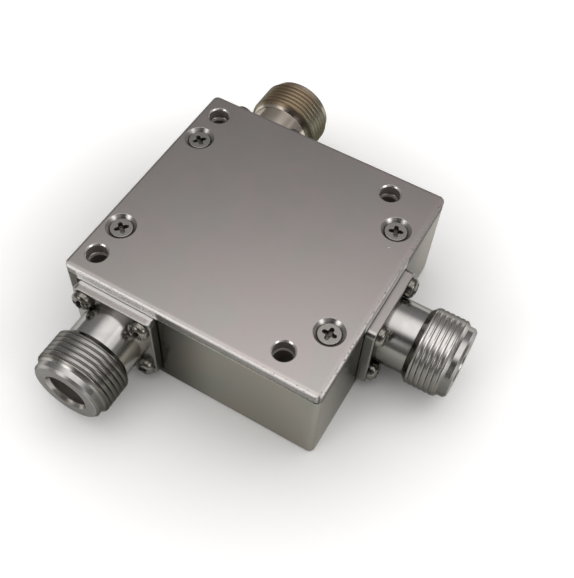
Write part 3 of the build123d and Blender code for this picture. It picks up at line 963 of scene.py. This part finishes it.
def flangeScrewOutline():
    # from the head's flat top over its round shoulder to the shank's tip
    head, flat, ease = flangeScrew["headRadius"], flangeScrew["flatRadius"], flangeScrew["ease"]
    bend, steps = flangeScrew["roundRadius"], flangeScrew["roundSteps"]
    drop = flangeScrew["height"] - flangeScrew["rimHeight"]
    middle = Vector(((head + flat) / 2, -drop / 2))
    chord = Vector((head - flat, -drop))
    lift = sqrt(bend ** 2 - (chord.length / 2) ** 2)
    centre = middle + Vector((-drop, -(head - flat))).normalized() * lift
    startAngle = (Vector((flat, 0)) - centre).angle_signed(Vector((1, 0)))
    endAngle = (Vector((head, -drop)) - centre).angle_signed(Vector((1, 0)))
    outline = [(0, 0)]
    for step in range(steps + 1):
        angle = startAngle + (endAngle - startAngle) * step / steps
        outline.append((centre.y + bend * sin(angle), centre.x + bend * cos(angle)))
    seat = -flangeScrew["height"]
    outline += [(seat + ease, head), (seat, head - ease), (seat, screwShape["radius"])]
    return outline + tipOutline(seat - flangeScrew["reach"])


lidShape = cutScrew(lidScrewOutline(), "lidScrewBlank")
low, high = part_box("lid_screws")
reach = lidScrew["headRadius"] * mm
corners = [
    (low.x + reach, low.y + reach), (low.x + reach, high.y - reach),
    (high.x - reach, high.y - reach), (high.x - reach, low.y + reach),
]
lidPlaces = [
    Matrix.Translation((x, y, high.z)) @ Matrix.Rotation(radians(angle), 4, "Z") @ Matrix.Scale(mm, 4)
    for (x, y), angle in zip(corners, lidScrew["angles"])
]
setScrews("lidScrews", lidShape, lidPlaces, "lid_screws", "screwHead")

flangeShape = cutScrew(flangeScrewOutline(), "flangeScrewBlank")
spacing = shell["screwSpacing"] / 2
spots = ((-spacing, -spacing), (spacing, -spacing), (spacing, spacing), (-spacing, spacing))
for number in portWays:
    places = []
    for (across, up), angle in zip(spots, flangeScrew["angles"]):
        seat = Matrix.Translation((across, up, shell["flangeThickness"] + flangeScrew["height"]))
        places.append(portPlace(number) @ seat @ Matrix.Rotation(radians(angle), 4, "Z"))
    setScrews(f"flangeScrews{number}", flangeShape, places, f"port_{number}_screws", "panHead")
print("screws cut")


# CAD pieces that keep their shape get their finish

nodeFinishes = {
    "housing": "housing", "lid": "lid",
    "lower_magnet": "magnet", "upper_magnet": "magnet",
    "lower_pole_plate": "steel", "upper_pole_plate": "steel",
    "lower_ground_plate": "silver", "upper_ground_plate": "silver",
    "lower_ferrite": "ferrite", "upper_ferrite": "ferrite",
    "lower_ceramic_ring": "ceramic", "upper_ceramic_ring": "ceramic",
    "centre_conductor": "silver", "temperature_plate": "steel", "pressure_pad": "rubber",
}
for number in portWays:
    nodeFinishes[f"port_{number}_insulator"] = "insulator"
    nodeFinishes[f"port_{number}_contact"] = "contact"
for node, finish in nodeFinishes.items():
    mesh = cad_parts[node].data
    mesh.materials.clear()
    mesh.materials.append(finishes[finish])
print("CAD pieces finished:", len(nodeFinishes))


# Floor, light and camera

floorLook = {
    "radius": 3.0, "points": 96,     # the radius is in metres
    "colour": (0.95, 0.95, 0.945), "roughness": 0.9, "mottleSize": 40.0, "mottleTones": (0.985, 1.0),
    "glowSpan": (26.0, 74.0, 0.0, 0.42),     # the backdrop past the object's shadow, mm
}


def makeFloor():
    bm = bmesh.new()
    edge = ring(bm, Matrix.Identity(4), floorLook["radius"], 0, floorLook["points"])
    bm.faces.new(edge)
    finish = Finish("paleFloor", {"Roughness": floorLook["roughness"], "Emission Strength": 1.0})
    x, y = finish.place()[:2]
    mottle = finish.blotches(floorLook["mottleSize"], detail=3.0)
    finish.set("Base Color", finish.mix(mottle, *tones(floorLook["colour"], *floorLook["mottleTones"])))
    glow = finish.range(distance(x, y), *floorLook["glowSpan"])
    finish.set("Emission Color", finish.mix(glow, (0, 0, 0, 1), (1, 1, 1, 1)))
    floor = objectOf(bm, "floor")
    floor.data.materials.append(finish.material)


# azimuth is from +X towards +Y; distance and size are in metres, and power is in watts
lamps = {
    "backRight": {"azimuth": 36, "elevation": 50, "distance": 1.0, "size": (0.50, 0.40), "power": 0.6},
}


def skyWay(azimuth, elevation):
    azimuth, elevation = radians(azimuth), radians(elevation)
    return Vector((cos(azimuth) * cos(elevation), sin(azimuth) * cos(elevation), sin(elevation)))


def makeLamps():
    for name, lamp in lamps.items():
        data = bpy.data.lights.new(name, "AREA")
        data.shape = "RECTANGLE"
        data.size, data.size_y = lamp["size"]
        data.energy = lamp["power"]
        made = bpy.data.objects.new(name, data)
        way = skyWay(lamp["azimuth"], lamp["elevation"])
        made.location = way * lamp["distance"]
        made.rotation_euler = way.to_track_quat("Z", "Y").to_euler()
        bpy.context.scene.collection.objects.link(made)


# a wide soft light overhead, dim walls, a dark card beside the camera and a small light on each side of it
skyLook = {
    "softbox": {"azimuth": 80, "elevation": 88, "full": 8, "none": 44, "strength": 1.38},
    "frontLeft": {"azimuth": -114, "elevation": 27, "full": 7, "none": 16, "strength": 2.6},
    "frontRight": {"azimuth": -7, "elevation": 30, "full": 7, "none": 15, "strength": 2.6},
    "card": {"azimuth": -84, "elevation": 42, "full": 10, "none": 27, "strength": 0.92},
    "horizon": 0.21, "wall": 0.325, "wallTop": 46,
    "colour": (1.0, 0.99, 0.98),
}


def makeSky():
    world = bpy.data.worlds.new("studio")
    bpy.context.scene.world = world
    world.use_nodes = True
    sky = Shading(world.node_tree)
    way = sky.node("ShaderNodeTexCoord", output="Generated")

    def patch(look):
        towards = skyWay(look["azimuth"], look["elevation"])
        near = sky.node("ShaderNodeVectorMath", {"operation": "DOT_PRODUCT"}, {0: way, 1: towards}, "Value")
        return look["strength"] * sky.range(near, cos(radians(look["none"])), cos(radians(look["full"])))

    height = sky.node("ShaderNodeSeparateXYZ", inputs={0: way}, output=2)
    wall = sky.range(height, 0.0, sin(radians(skyLook["wallTop"])), skyLook["horizon"], skyLook["wall"])
    light = (wall + patch(skyLook["softbox"])) * (1 - patch(skyLook["card"]))
    light = light + patch(skyLook["frontLeft"]) + patch(skyLook["frontRight"])
    background = world.node_tree.nodes["Background"]
    background.inputs["Color"].default_value = rgb(skyLook["colour"])
    world.node_tree.links.new(light.socket, background.inputs["Strength"])


cameraView = {
    "place": (50.023, -88.438, 151.928),     # mm
    "turn": (34.1491, -2.4863, 29.9703),     # degrees about X, Y, Z
    "lens": 53.651, "sensor": 36.0,
    "clip": (0.01, 20),     # metres
}


def makeCamera():
    data = bpy.data.cameras.new("camera")
    data.lens = cameraView["lens"]
    data.sensor_width = cameraView["sensor"]
    data.clip_start, data.clip_end = cameraView["clip"]
    made = bpy.data.objects.new("camera", data)
    made.location = Vector(cameraView["place"]) * mm
    made.rotation_euler = [radians(part) for part in cameraView["turn"]]
    bpy.context.scene.collection.objects.link(made)
    bpy.context.scene.camera = made


makeFloor()
makeLamps()
makeSky()
makeCamera()
bpy.context.scene.view_settings.view_transform = "Standard"
print("floor, light and camera set")
